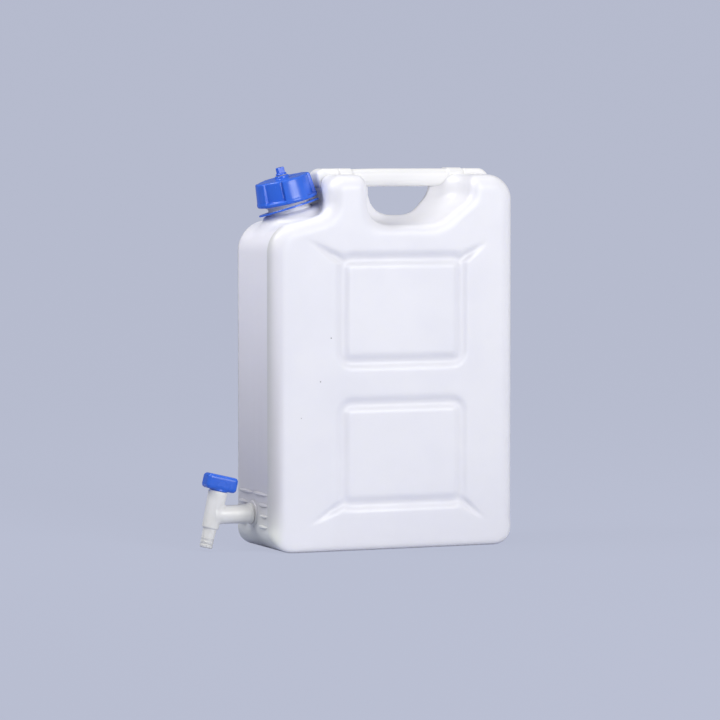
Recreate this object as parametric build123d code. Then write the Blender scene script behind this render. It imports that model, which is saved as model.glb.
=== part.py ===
from build123d import *
from math import acos, atan2, cos, hypot, pi, radians, sin, sqrt, tan
import os

# A flat-sided carboy of about 22 litres, blown in one piece from HDPE, with a
# screw cap, a vent screw and a plastic tap. Millimetres, +Z up, +X along the
# wide faces, the tap and the neck at the -X end. The origin is on the floor
# under the middle of the body. The body stands on its flat base.

# ---------------------------------------------------------------- canister
body_length = 355.0
body_depth = 146.0
body_height = 504.0
wall = 2.0
edge_radius = 20.0             # round of the four edges of each wide face
base_corner_radius = 30.0
back_corner_radius = 35.0      # top corner of the tall end
shoulder_corner_radius = 42.0  # top corner under the neck
shoulder_drop = 71.2           # body's top to the shoulder plane, at the tap end
shoulder_angle = 14.0          # rise of the shoulder towards the handle
valley_radius = 20.0           # where the shoulder meets the front pillar
pillar_inset = 84.5            # tap end to the front pillar's outer wall
pillar_corner_radius = 23.0

# Finger opening: a pocket in each wide face that closes to a thin web
# around the hole through the middle, under the handle bar. Left sides lie
# this far behind the front pillar's outer wall, right sides this far in from
# the tall end, and heights are drops from the body's top.
hole_left = 83.0
hole_bottom_right = 127.5
hole_knee_right = 101.5
hole_top_right = 93.5
hole_drop = 55.0
hole_knee_drop = 24.0
pocket_left = 55.0
pocket_bottom_right = 111.5
pocket_knee_right = 65.5
pocket_top_right = 59.5
pocket_drop = 67.0
pocket_knee_drop = 30.0
hole_radii = (18.0, 22.0, 25.0)
pocket_radii = (26.0, 30.0, 34.0)
web_half_width = 3.0
pocket_flare = 4               # how soon the pocket widens, out from the web
pocket_steps = 6
pocket_spacing = 1.5           # sections lie closer together by the web
rim_radius = 11.0              # round where the pocket meets the wide face
rim_angle = 80.0
rim_overrun = 6.0              # degrees that the rim's cut runs past its arc
rim_steps = 4

# Handle bar with the collars and pads that carry it, placed as above
bar_width = 28.0
bar_height = 24.5
bar_proud = 8.0                # bar's top over the body's top
bar_round = 9.0
bar_front = 43.0
bar_back = 59.5
collar_front = (36.5, 55.1)
collar_back = (53.0, 74.6)
collar_extra = 1.2
pad_front = 10.0
pad_back = 23.3
pad_slope = 9.0

# Stiffening grooves pressed into both wide faces: insets from the tap end
# and the tall end, heights over the floor and drops from the body's top
panel_front_inset = 101.5
panel_back_inset = 80.5
panel_floor = 63.0
panel_low_height = 134.2
panel_gap = 56.5
panel_drop = 112.4
panel_radius = 14.0
groove_width = 21.0
groove_depth = 4.5
low_arm_front = (47.5, 33.5)   # inset and height of the arm's tip
low_arm_back = (40.5, 33.0)
high_arm_front = (45.5, 84.0)  # inset and drop of the arm's tip
high_arm_back = (40.5, 89.0)

# Neck, square to the shoulder
neck_inset = 55.7              # tap end to the neck axis, on the shoulder
neck_root = 8.0                # neck's length below the shoulder plane
neck_collar_radius = 34.0
neck_collar_height = 8.5
neck_radius = 28.5
neck_bore_radius = 25.5
neck_height = 48.0
snap_bead_radius = 31.0
snap_bead_height = 19.0
snap_bead_width = 3.0
cap_room_radius = 46.0         # hollow in the pillar that clears the cap
cap_room_round = 8.0
cap_room_height = 90.0

# Tap boss and the ribs beside it, on the narrow face
tap_height = 48.5
boss_radius = 17.0
boss_proud = 2.0
boss_inside_radius = 15.0
boss_inside_length = 12.0
boss_bore_radius = 10.5
rib_count = 4
rib_top = 77.0
rib_pitch = 14.6
rib_half_height = 2.2
rib_proud = 1.8
rib_clear_radius = 26.0

overlap = 1.0                  # how far joined pieces run into each other

# ---------------------------------------------------------------- cap and vent
cap_wall = 3.0
thread_clearance = 2.5         # neck wall to cap wall, filled by the two threads
cap_taper = 3.0                # skirt grows by this from roof to flange
cap_roof = 4.0
cap_roof_round = 2.0
cap_flange_radius = 41.0
cap_flange_height = 5.0
cap_skirt_length = 32.0
cap_rib_count = 6
cap_rib_width = 3.2
cap_rib_proud = 4.0
cap_rib_start = 8.0            # degrees round the neck from the near side
gasket_thickness = 2.0
gasket_clearance = 0.6
ring_bore_radius = 32.0
ring_radius = 42.0
ring_thickness = 2.4
ring_gap = 0.3                 # at its lowest, over the neck's collar
ring_tilt_along = 2.5          # degrees, tap side down
ring_tilt_across = 5.5         # degrees, near side up
vent_boss_radius = 9.5
vent_boss_height = 4.0
vent_boss_land = 1.0           # flat left round the washer
vent_shank_radius = 4.0
vent_clearance = 0.05
vent_slot_width = 2.0
vent_slot_depth = 2.0
vent_slot_stop = 1.0           # solid shank left under the washer
vent_shank_gap = 0.5           # shank's end over the cap's inner roof
vent_washer_radius = 6.8
vent_washer_thickness = 1.2
vent_head_radius = 7.4
vent_head_height = 2.0
vent_grip_radius = 5.75
vent_grip_height = 7.8
vent_grip_flats = 8.4
vent_grip_round = 1.2

# ---------------------------------------------------------------- tap
tap_gasket_radius = 13.6
tap_gasket_thickness = 1.5
tap_flange_radius = 14.5
tap_flange_thickness = 3.0
tap_pipe_radius = 12.6
tap_pipe_root_radius = 13.4
tap_pipe_root_length = 12.0
tap_pipe_bore_radius = 6.5
tap_thread_clearance = 0.1
barrel_reach = 57.5            # narrow face to the barrel axis, at the pipe
barrel_rise = 0.5              # barrel centre above the pipe axis
barrel_tilt = 13.5             # degrees, top towards the body
barrel_top = 32.0
barrel_bottom = 18.7
barrel_rim_height = 2.0
barrel_rim_taper = 0.5
barrel_top_radius = 13.0
barrel_bottom_radius = 11.2
spout_length = 26.8
spout_root_radius = 9.4
spout_tip_radius = 8.1
spout_bore_radius = 5.5
barb_count = 3
barb_proud = 0.8
barb_length = 5.0
barb_crest = 1.0               # barb's pitch left behind its crest
barb_back = 0.4                # length of its back edge
plug_radius = 8.6
plug_clearance = 0.05
plug_well_radius = 5.0
plug_floor = 14.0              # plug's lower end below the pipe axis
plug_bead_proud = 0.6
plug_bead_height = 26.0
plug_bead_width = 2.0
plug_bead_clearance = 0.15
o_ring_section_radius = 1.0
o_ring_heights = (-10.5, 11.0)
o_ring_groove_share = 1.15     # groove's width to the ring's
grip_gap = 0.4
grip_collar_height = 1.1
grip_collar_radius = 12.0
grip_length = 44.0
grip_width = 25.0
grip_height = 20.5
grip_round = 4.5
grip_chamfer = 1.2


def crossing(point_a, dir_a, point_b, dir_b):
    # Where two straight lines in the XZ plane cross
    det = dir_a[0] * dir_b[1] - dir_a[1] * dir_b[0]
    gap = (point_b[0] - point_a[0], point_b[1] - point_a[1])
    along = (gap[0] * dir_b[1] - gap[1] * dir_b[0]) / det
    return point_a[0] + along * dir_a[0], point_a[1] + along * dir_a[1]


def grown(points, amount):
    # A polygon listed anticlockwise with each side moved outwards
    lines = []
    for start, end in zip(points, points[1:] + points[:1]):
        run = hypot(end[0] - start[0], end[1] - start[1])
        way = ((end[0] - start[0]) / run, (end[1] - start[1]) / run)
        lines.append(((start[0] + amount * way[1], start[1] - amount * way[0]), way))
    return [crossing(*lines[i - 1], *lines[i]) for i in range(len(lines))]


def turn_at(before, corner, after):
    # Turn angle at a corner, positive to the left
    first = (corner[0] - before[0], corner[1] - before[1])
    second = (after[0] - corner[0], after[1] - corner[1])
    cross = first[0] * second[1] - first[1] * second[0]
    return atan2(cross, first[0] * second[0] + first[1] * second[1])


def rounded_loop(points, radii, y):
    # A closed wire at depth y: straight sides with an arc at each corner
    count = len(points)
    arcs = []
    for i, (corner, radius) in enumerate(zip(points, radii)):
        before, after = points[i - 1], points[(i + 1) % count]
        turn = turn_at(before, corner, after)
        reach = radius * tan(abs(turn) / 2)
        back = hypot(before[0] - corner[0], before[1] - corner[1])
        ahead = hypot(after[0] - corner[0], after[1] - corner[1])
        back_way = ((before[0] - corner[0]) / back, (before[1] - corner[1]) / back)
        ahead_way = ((after[0] - corner[0]) / ahead, (after[1] - corner[1]) / ahead)
        start = (corner[0] + reach * back_way[0], corner[1] + reach * back_way[1])
        end = (corner[0] + reach * ahead_way[0], corner[1] + reach * ahead_way[1])
        middle_way = (back_way[0] + ahead_way[0], back_way[1] + ahead_way[1])
        middle_run = hypot(*middle_way)
        middle_reach = radius / cos(turn / 2) - radius
        middle = tuple(corner[k] + middle_reach * middle_way[k] / middle_run for k in (0, 1))
        arcs.append((start, middle, end, radius))
    edges = []
    for i, (start, middle, end, radius) in enumerate(arcs):
        if radius > 0:
            edges.append(ThreePointArc(*[(x, y, z) for x, z in (start, middle, end)]).edge())
        following = arcs[(i + 1) % count][0]
        edges.append(Line((end[0], y, end[1]), (following[0], y, following[1])).edge())
    return Wire(edges)


def from_tap_end(inset):
    return inset - body_length / 2


def from_back(inset):
    return body_length / 2 - inset


def from_pillar(offset):
    return from_tap_end(pillar_inset + offset)


def from_top(drop):
    return body_height - drop


def bar_top():
    return body_height + bar_proud


def shoulder_at(x):
    return from_top(shoulder_drop) + (x + body_length / 2) * tan(radians(shoulder_angle))


def body_block(inset):
    # The body's side outline pushed through its depth, with rounded edges
    half = body_length / 2
    pillar_x = from_pillar(0)
    corners = [
        (-half, 0),
        (half, 0),
        (half, body_height),
        (pillar_x, body_height),
        (pillar_x, shoulder_at(pillar_x)),
        (-half, shoulder_at(-half)),
    ]
    radii = [
        base_corner_radius - inset,
        base_corner_radius - inset,
        back_corner_radius - inset,
        pillar_corner_radius - inset,
        valley_radius + inset,
        shoulder_corner_radius - inset,
    ]
    outline = rounded_loop(grown(corners, -inset), radii, inset - body_depth / 2)
    block = extrude(Face(outline), body_depth - 2 * inset, dir=(0, 1, 0))
    return fillet(block.faces().filter_by(Axis.Y).edges(), edge_radius - inset)


def mix(a, b, share):
    return a + (b - a) * share


def rim_centre():
    # Depth of the rim arc's centre, set so that the arc crosses the face
    return body_depth / 2 - rim_radius * sin(radians(rim_angle))


def pocket_outline(y, inset):
    # Outline of the finger opening at depth y, out from the middle plane
    depth = (y - web_half_width) / (body_depth / 2 - web_half_width)
    share = 1 - (1 - depth) ** pocket_flare
    left = from_pillar(mix(hole_left, pocket_left, share))
    bottom = from_top(mix(hole_drop, pocket_drop, share))
    bottom_right = from_back(mix(hole_bottom_right, pocket_bottom_right, share))
    knee_right = from_back(mix(hole_knee_right, pocket_knee_right, share))
    knee = from_top(mix(hole_knee_drop, pocket_knee_drop, share))
    top_right = from_back(mix(hole_top_right, pocket_top_right, share))
    top = body_height + 2 * edge_radius
    corners = [
        (left, bottom),
        (bottom_right, bottom),
        (knee_right, knee),
        (top_right, top),
        (left, top),
    ]
    rise = max(y - rim_centre(), 0)
    spread = rim_radius - sqrt((rim_radius - inset) ** 2 - rise ** 2)
    radii = [mix(hole_radii[k], pocket_radii[k], share) + spread for k in range(3)]
    return rounded_loop(grown(corners, spread), radii + [0, 0], y)


def finger_opening(inset):
    # The cutter for hole and pockets; inset leaves a wall round it
    span = rim_centre() - web_half_width
    shares = [(i / pocket_steps) ** pocket_spacing for i in range(pocket_steps)]
    depths = [web_half_width + span * share for share in shares]
    sweep_angle = radians(rim_angle + rim_overrun)
    rim_ends = [sweep_angle * i / rim_steps for i in range(rim_steps + 1)]
    depths += [rim_centre() + (rim_radius - inset) * sin(angle) for angle in rim_ends]
    pocket = Solid.make_loft([pocket_outline(y, inset) for y in depths])
    mouth = extrude(Face(pocket_outline(depths[-1], inset)), edge_radius, dir=(0, 1, 0))
    web = extrude(Face(pocket_outline(web_half_width, inset)), -web_half_width, dir=(0, 1, 0))
    half = pocket + mouth + web
    return half + mirror(half, Plane.XZ)


def bar_section(inset):
    # The handle bar's rounded rectangle, facing +X at its left end
    centre = (from_pillar(bar_front), 0, bar_top() - bar_height / 2)
    side = Plane(origin=centre, x_dir=(0, 1, 0), z_dir=(1, 0, 0))
    width, height = bar_width - 2 * inset, bar_height - 2 * inset
    return side * RectangleRounded(width, height, bar_round - inset)


def handle(inset):
    # The bar with a sloped pad on the top of each pillar
    front, back = from_pillar(bar_front), from_back(bar_back)
    bar = extrude(bar_section(inset), back - front)
    pads = []
    for bar_end, outer, away in ((front, from_pillar(pad_front), -1), (back, from_back(pad_back), 1)):
        foot = body_height - edge_radius
        low = body_height - inset
        top = bar_top() - inset
        slope_top = outer - away * inset
        points = [
            (bar_end, 0, foot),
            (slope_top + away * pad_slope, 0, foot),
            (slope_top + away * pad_slope, 0, low),
            (slope_top, 0, top),
            (bar_end, 0, top),
        ]
        side = Face(Wire.make_polygon([Vector(*p) for p in points], close=True))
        pads.append(extrude(side, (bar_width - 2 * inset) / 2, dir=(0, 1, 0), both=True))
    return bar + pads


def collars():
    # Thicker bands round the bar where it meets each pillar
    front = [from_pillar(offset) for offset in collar_front]
    back = [from_back(inset) for inset in collar_back]
    extra = 2 * collar_extra
    bands = []
    for ends in (front, back):
        place = Pos(sum(ends) / 2, 0, bar_top() - bar_height / 2)
        length = abs(ends[1] - ends[0])
        band = place * Box(length, bar_width + extra, bar_height + extra)
        bands.append(fillet(band.edges().filter_by(Axis.X), bar_round))
    return bands


def groove_radius():
    return (groove_width ** 2 / 4 + groove_depth ** 2) / (2 * groove_depth)


def panel_frames():
    # Low and high ends of the two frames' centre lines
    low_top = panel_floor + panel_low_height
    return (panel_floor, low_top), (low_top + panel_gap, from_top(panel_drop))


def panel_cutters(inset):
    # Half-round channels on the near face: two frames and four tapering arms
    radius = groove_radius()
    face = -body_depth / 2
    centre_y = face + groove_depth - radius
    left, right = from_tap_end(panel_front_inset), from_back(panel_back_inset)
    frames = panel_frames()
    cutters = []
    for low, high in frames:
        middle = ((left + right) / 2, face, (low + high) / 2)
        frame = Plane(origin=middle, x_dir=(1, 0, 0), z_dir=(0, -1, 0))
        path = frame * RectangleRounded(right - left, high - low, panel_radius)
        start = Plane(origin=(middle[0], face, low), x_dir=(0, 0, 1), z_dir=(1, 0, 0))
        round_section = Pos(0, face - centre_y) * Circle(radius + inset)
        lip = Pos(0, -radius / 2 - inset + overlap) * Rectangle(4 * radius, radius)
        section = start * (round_section & lip)
        cutters.append(sweep(section, path=path.wire()))
    # An arm starts in the middle of a frame's rounded corner
    back = panel_radius * (1 - cos(pi / 4))
    low_z, high_z = frames[0][0] + back, frames[1][1] - back
    arms = (
        (left + back, low_z, from_tap_end(low_arm_front[0]), low_arm_front[1]),
        (right - back, low_z, from_back(low_arm_back[0]), low_arm_back[1]),
        (left + back, high_z, from_tap_end(high_arm_front[0]), from_top(high_arm_front[1])),
        (right - back, high_z, from_back(high_arm_back[0]), from_top(high_arm_back[1])),
    )
    for start_x, start_z, tip_x, tip_z in arms:
        first = Vector(start_x, centre_y, start_z)
        last = Vector(tip_x, face - radius, tip_z)
        # Runs on past the tip, where the channel has left the wall
        cutters.append(rod(first, last + (last - first) / 2, radius + inset))
    return cutters


def rod(start, end, radius):
    # A plain cylinder between two points
    return extrude(Plane(origin=start, z_dir=end - start) * Circle(radius), (end - start).length)


def neck_frame():
    # Local frame of the neck: Z along the neck, up from the shoulder plane
    x = from_tap_end(neck_inset)
    tilt = radians(shoulder_angle)
    return Plane(
        origin=(x, 0, shoulder_at(x)),
        x_dir=(cos(tilt), 0, sin(tilt)),
        z_dir=(-sin(tilt), 0, cos(tilt)),
    )


def tap_face():
    # Local frame of the tap boss: Z out of the narrow face, X upwards
    return Plane(origin=(-body_length / 2, 0, tap_height), x_dir=(0, 0, 1), z_dir=(-1, 0, 0))


def cylinder(frame, radius, start, end):
    # A cylinder on a frame's Z axis between two heights
    return extrude(frame.offset(start) * Circle(radius), end - start)


def end_circle(solid, frame, end):
    # The lowest (0) or highest (-1) round edge along a frame's Z axis
    circles = solid.edges().filter_by(GeomType.CIRCLE)
    return sorted(circles, key=lambda edge: (edge.arc_center - frame.origin).dot(frame.z_dir))[end]


def neck_outside():
    frame = neck_frame()
    collar = cylinder(frame, neck_collar_radius, -neck_root, neck_collar_height)
    tube = cylinder(frame, neck_radius, 0, neck_height)
    bead = cylinder(frame, snap_bead_radius, snap_bead_height, snap_bead_height + snap_bead_width)
    return [collar, tube, chamfer(bead.edges(), snap_bead_width / 3)]


def cap_room(inset):
    # The cutter for the hollow beside the cap
    drum = cylinder(neck_frame(), cap_room_radius + inset, -inset, cap_room_height)
    return fillet(end_circle(drum, neck_frame(), 0), cap_room_round + inset)


def side_ribs():
    # Beads across the narrow face, cleared round the tap boss
    radius = (rib_half_height ** 2 + rib_proud ** 2) / (2 * rib_proud)
    clear = cylinder(tap_face(), rib_clear_radius, -radius, radius)
    half = body_depth / 2 - edge_radius
    ribs = []
    for index in range(rib_count):
        height = rib_top - index * rib_pitch
        x = radius - rib_proud - body_length / 2
        bead = rod(Vector(x, -half, height), Vector(x, half, height), radius)
        ribs.append(bead - clear)
    return ribs


def make_canister():
    skin = body_block(0) - finger_opening(0) + handle(0) + collars()
    channels = panel_cutters(0)
    skin = skin - channels - [mirror(cutter, Plane.XZ) for cutter in channels] - cap_room(0)
    room = body_block(wall) - finger_opening(wall) + handle(wall)
    channels = panel_cutters(wall)
    room = room - channels - [mirror(cutter, Plane.XZ) for cutter in channels] - cap_room(wall)
    boss = cylinder(tap_face(), boss_radius, -wall, boss_proud)
    inside = cylinder(tap_face(), boss_inside_radius, -boss_inside_length, 0)
    shell = skin + neck_outside() + side_ribs() + boss - room
    shell = shell + inside
    neck_bore = cylinder(neck_frame(), neck_bore_radius, -neck_root, neck_height)
    tap_bore = cylinder(tap_face(), boss_bore_radius, -boss_inside_length, boss_proud)
    return shell - neck_bore - tap_bore


def cap_top():
    return neck_height + gasket_thickness + cap_roof


def turned(frame, profile):
    # A solid of revolution from (radius, height) points on a frame's Z axis
    side = Plane(origin=frame.origin, x_dir=frame.x_dir, z_dir=-frame.y_dir)
    face = side * make_face(Polyline(*profile, close=True))
    return revolve(face, Axis(frame.origin, frame.z_dir))


def make_screw_cap():
    frame = neck_frame()
    top = cap_top()
    bottom = top - cap_skirt_length
    inner = neck_radius + thread_clearance
    upper = inner + cap_wall
    lower = upper + cap_taper
    flange_top = bottom + cap_flange_height
    inside_top = top - cap_roof
    cup = turned(frame, [
        (0, inside_top),
        (inner, inside_top),
        (inner, bottom),
        (cap_flange_radius, bottom),
        (cap_flange_radius, bottom + cap_flange_height / 2),
        (lower, flange_top),
        (upper, top - cap_roof_round),
        (upper - cap_roof_round, top),
        (0, top),
    ])
    ribs = []
    for index in range(cap_rib_count):
        turn = cap_rib_start + 360 / cap_rib_count * index
        side = Plane(origin=frame.origin, x_dir=frame.x_dir, z_dir=-frame.y_dir)
        blade = side * make_face(Polyline(
            (inner + cap_wall / 2, bottom + overlap),
            (lower + cap_rib_proud, bottom + overlap),
            (lower + cap_rib_proud, flange_top),
            (upper + cap_rib_proud / 2, top - cap_roof_round),
            (inner + cap_wall / 2, top - cap_roof_round / 2),
            close=True,
        ))
        rib = extrude(blade, cap_rib_width / 2, both=True)
        ribs.append(rib.rotate(Axis(frame.origin, frame.z_dir), turn))
    boss = turned(frame, [
        (0, top - overlap),
        (vent_boss_radius, top - overlap),
        (vent_boss_radius, top + vent_boss_height / 2),
        (vent_washer_radius + vent_boss_land, top + vent_boss_height),
        (0, top + vent_boss_height),
    ])
    hole = vent_shank_radius + vent_clearance
    vent_hole = cylinder(frame, hole, inside_top, top + vent_boss_height)
    return cup + ribs + boss - vent_hole


def make_cap_gasket():
    frame = neck_frame()
    outer = neck_radius + thread_clearance - gasket_clearance
    ring = cylinder(frame, outer, neck_height, neck_height + gasket_thickness)
    return ring - cylinder(frame, neck_bore_radius - 1, neck_height, neck_height + gasket_thickness)


def make_retaining_ring():
    # Loose on the neck's collar, tipped as it has come to rest
    ring = Cylinder(ring_radius, ring_thickness) - Cylinder(ring_bore_radius, ring_thickness)
    ring = chamfer(ring.edges(), ring_thickness / 5)
    tipped = Rot(-ring_tilt_across, -ring_tilt_along, 0)
    slope = acos(cos(radians(ring_tilt_across)) * cos(radians(ring_tilt_along)))
    lift = neck_collar_height + neck_collar_radius * sin(slope) + ring_thickness / 2 + ring_gap
    return neck_frame().offset(lift).location * tipped * ring


def vent_base():
    return cap_top() + vent_boss_height


def make_vent_washer():
    frame = neck_frame()
    base = vent_base()
    disc = cylinder(frame, vent_washer_radius, base, base + vent_washer_thickness)
    hole = cylinder(frame, vent_shank_radius + vent_clearance, base, base + vent_washer_thickness)
    return disc - hole


def make_vent_screw():
    frame = neck_frame()
    seat = vent_base() + vent_washer_thickness
    grip_start = seat + vent_head_height
    shank = cylinder(frame, vent_shank_radius, cap_top() - cap_roof + vent_shank_gap, seat)
    slot_start = frame.offset(cap_top() - cap_roof).location * Pos(0, vent_slot_depth, 0)
    slot_height = cap_roof + vent_boss_height - vent_slot_stop
    slot_size = (vent_slot_width, vent_shank_radius, slot_height)
    slot = slot_start * Box(*slot_size, align=(Align.CENTER, Align.MIN, Align.MIN))
    head = cylinder(frame, vent_head_radius, seat, grip_start)
    head = chamfer(end_circle(head, frame, -1), vent_head_height / 3)
    grip = cylinder(frame, vent_grip_radius, grip_start, grip_start + vent_grip_height)
    grip = fillet(end_circle(grip, frame, -1), vent_grip_round)
    flats = frame.offset(grip_start).location * Box(
        2 * vent_grip_radius, vent_grip_flats, vent_grip_height,
        align=(Align.CENTER, Align.CENTER, Align.MIN),
    )
    return shank - slot + head + (grip & flats)


def barrel_frame():
    # Local frame of the barrel: Z up its axis from the pipe's height
    tilt = radians(barrel_tilt)
    return Plane(
        origin=(-body_length / 2 - barrel_reach, 0, tap_height + barrel_rise),
        x_dir=(cos(tilt), 0, -sin(tilt)),
        z_dir=(sin(tilt), 0, cos(tilt)),
    )


def tap_flange_seat():
    return boss_proud + tap_gasket_thickness


def make_tap_gasket():
    face = tap_face()
    ring = cylinder(face, tap_gasket_radius, boss_proud, tap_flange_seat())
    return ring - cylinder(face, boss_bore_radius, boss_proud, tap_flange_seat())


def make_tap_body():
    face = tap_face()
    frame = barrel_frame()
    seat = tap_flange_seat()
    flange_end = seat + tap_flange_thickness
    nipple = cylinder(face, boss_bore_radius - tap_thread_clearance, -boss_inside_length, seat)
    flange = cylinder(face, tap_flange_radius, seat, flange_end)
    root = turned(face, [
        (0, flange_end - overlap),
        (tap_pipe_root_radius, flange_end - overlap),
        (tap_pipe_root_radius, flange_end + tap_pipe_root_length / 2),
        (tap_pipe_radius, flange_end + tap_pipe_root_length),
        (0, flange_end + tap_pipe_root_length),
    ])
    pipe = cylinder(face, tap_pipe_radius, flange_end, barrel_reach)
    barrel = turned(frame, [
        (0, -barrel_bottom),
        (barrel_bottom_radius, -barrel_bottom),
        (barrel_top_radius, barrel_top - barrel_rim_height),
        (barrel_top_radius - barrel_rim_taper, barrel_top),
        (0, barrel_top),
    ])
    tip = -barrel_bottom - spout_length
    profile = [(0, tip)]
    for index in range(barb_count):
        start = tip + index * barb_length
        share = index * barb_length / spout_length
        neck = mix(spout_tip_radius, spout_root_radius, share)
        profile.append((neck, start))
        crest = start + barb_length - barb_crest
        profile.append((neck + barb_proud, crest))
        profile.append((neck, crest + barb_back))
    profile.append((spout_root_radius, -barrel_bottom))
    profile.append((0, -barrel_bottom + overlap))
    spout = turned(frame, profile)
    solid = nipple + flange + root + pipe + barrel + spout
    bore = plug_radius + plug_clearance
    bead = bore + plug_bead_proud + plug_bead_clearance
    bead_low = plug_bead_height - plug_bead_clearance
    bead_high = plug_bead_height + plug_bead_width + plug_bead_clearance
    cavity = turned(frame, [
        (0, -plug_floor),
        (bore, -plug_floor),
        (bore, bead_low),
        (bead, bead_low + plug_bead_width / 3),
        (bead, bead_high - plug_bead_width / 3),
        (bore, bead_high),
        (bore, barrel_top),
        (0, barrel_top),
    ])
    spout_bore = cylinder(frame, spout_bore_radius, tip, -plug_floor)
    pipe_bore = cylinder(face, tap_pipe_bore_radius, -boss_inside_length, barrel_reach)
    return solid - cavity - spout_bore - pipe_bore


def grip_block(frame, start):
    # The lever that turns the plug: a rounded bar across the barrel's axis
    size = (grip_length, grip_width, grip_height)
    block = frame.offset(start).location * Box(*size, align=(Align.CENTER, Align.CENTER, Align.MIN))
    upright = block.edges().filter_by(lambda edge: abs(edge.length - grip_height) < 1e-6)
    block = fillet(upright, grip_round)
    return chamfer(block.faces().sort_by(Axis(frame.origin, frame.z_dir))[-1].edges(), grip_chamfer)


def make_tap_plug():
    frame = barrel_frame()
    collar_start = barrel_top + grip_gap
    grip_start = collar_start + grip_collar_height
    bead_high = plug_bead_height + plug_bead_width
    profile = [
        (0, -plug_floor),
        (plug_radius, -plug_floor),
    ]
    for height in o_ring_heights:
        half = o_ring_section_radius * o_ring_groove_share
        floor = plug_radius - 2 * o_ring_section_radius - plug_clearance
        profile.append((plug_radius, height - half))
        profile.append((floor, height - half))
        profile.append((floor, height + half))
        profile.append((plug_radius, height + half))
    profile += [
        (plug_radius, plug_bead_height),
        (plug_radius + plug_bead_proud, plug_bead_height + plug_bead_width / 3),
        (plug_radius + plug_bead_proud, bead_high - plug_bead_width / 3),
        (plug_radius, bead_high),
        (plug_radius, collar_start),
        (grip_collar_radius, collar_start),
        (grip_collar_radius, grip_start + overlap),
        (0, grip_start + overlap),
    ]
    plug = turned(frame, profile) + grip_block(frame, grip_start)
    well = cylinder(frame, plug_well_radius, -plug_floor, tap_pipe_bore_radius)
    port = cylinder(tap_face(), plug_well_radius, barrel_reach - 2 * plug_radius, barrel_reach)
    return plug - well - port


def make_plug_o_rings():
    frame = barrel_frame()
    section = o_ring_section_radius
    centre = plug_radius - section - plug_clearance / 2
    rings = [frame.offset(height).location * Torus(centre, section) for height in o_ring_heights]
    return Compound(children=rings)


pieces = {
    "canister": make_canister,
    "screw_cap": make_screw_cap,
    "cap_gasket": make_cap_gasket,
    "retaining_ring": make_retaining_ring,
    "vent_screw": make_vent_screw,
    "vent_washer": make_vent_washer,
    "tap_body": make_tap_body,
    "tap_plug": make_tap_plug,
    "plug_o_rings": make_plug_o_rings,
    "tap_gasket": make_tap_gasket,
}

os.makedirs("parts", exist_ok=True)
for name, make in pieces.items():
    export_step(make(), "parts/" + name + ".step")
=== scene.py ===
import math

import bpy
import numpy as np
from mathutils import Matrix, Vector


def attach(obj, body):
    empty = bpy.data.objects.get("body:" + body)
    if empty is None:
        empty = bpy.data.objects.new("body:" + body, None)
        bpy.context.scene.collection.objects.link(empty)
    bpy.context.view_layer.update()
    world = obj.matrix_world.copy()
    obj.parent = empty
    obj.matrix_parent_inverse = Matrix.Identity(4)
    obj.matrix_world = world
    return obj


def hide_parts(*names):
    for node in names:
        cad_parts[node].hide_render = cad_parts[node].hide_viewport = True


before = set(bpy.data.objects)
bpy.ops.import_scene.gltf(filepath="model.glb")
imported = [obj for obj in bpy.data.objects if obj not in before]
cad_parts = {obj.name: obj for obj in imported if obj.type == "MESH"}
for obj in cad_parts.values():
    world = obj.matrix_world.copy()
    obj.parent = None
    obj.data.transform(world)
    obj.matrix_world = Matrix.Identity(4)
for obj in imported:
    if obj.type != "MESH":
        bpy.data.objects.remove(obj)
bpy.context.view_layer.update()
print("frame loaded,", len(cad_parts), "nodes")

mm = 0.001  # sizes below are in millimetres, meshes in metres
sharpTurn = 35  # degrees past which an edge of a turned or grown piece stays crisp
projections = 4  # times a net's points are drawn onto its surface
cutPast = 9.0  # how far a cut runs on past the face it opens

view = {
    "azimuth": 22.777,  # degrees to the left of the wide face
    "distance": 5095.7,
    "height": 547.0,
    "heading": 22.554,
    "pitch": 3.3195,
    "lens": 187.41,
}


def makeCamera():
    lens = bpy.data.cameras.new("camera")
    lens.lens = view["lens"]
    lens.clip_end = 50
    camera = bpy.data.objects.new("camera", lens)
    bpy.context.collection.objects.link(camera)
    around = math.radians(view["azimuth"])
    reach = view["distance"] * mm
    camera.location = (-math.sin(around) * reach, -math.cos(around) * reach, view["height"] * mm)
    heading, pitch = math.radians(view["heading"]), math.radians(view["pitch"])
    forward = Vector((
        math.sin(heading) * math.cos(pitch),
        math.cos(heading) * math.cos(pitch),
        -math.sin(pitch),
    ))
    camera.rotation_euler = forward.to_track_quat("-Z", "Y").to_euler()
    bpy.context.scene.camera = camera


class Term:
    # A number or socket in a node tree; arithmetic on it adds Math nodes
    def __init__(self, maker, value):
        self.maker, self.value = maker, value

    def join(self, other, operation, swapped=False):
        pair = [other, self] if swapped else [self, other]
        return self.maker.node("ShaderNodeMath", {"operation": operation}, {0: pair[0], 1: pair[1]})

    def __add__(self, other):
        return self.join(other, "ADD")

    def __radd__(self, other):
        return self.join(other, "ADD", True)

    def __sub__(self, other):
        return self.join(other, "SUBTRACT")

    def __rsub__(self, other):
        return self.join(other, "SUBTRACT", True)

    def __mul__(self, other):
        return self.join(other, "MULTIPLY")

    def __rmul__(self, other):
        return self.join(other, "MULTIPLY", True)

    def __truediv__(self, other):
        return self.join(other, "DIVIDE")


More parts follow.
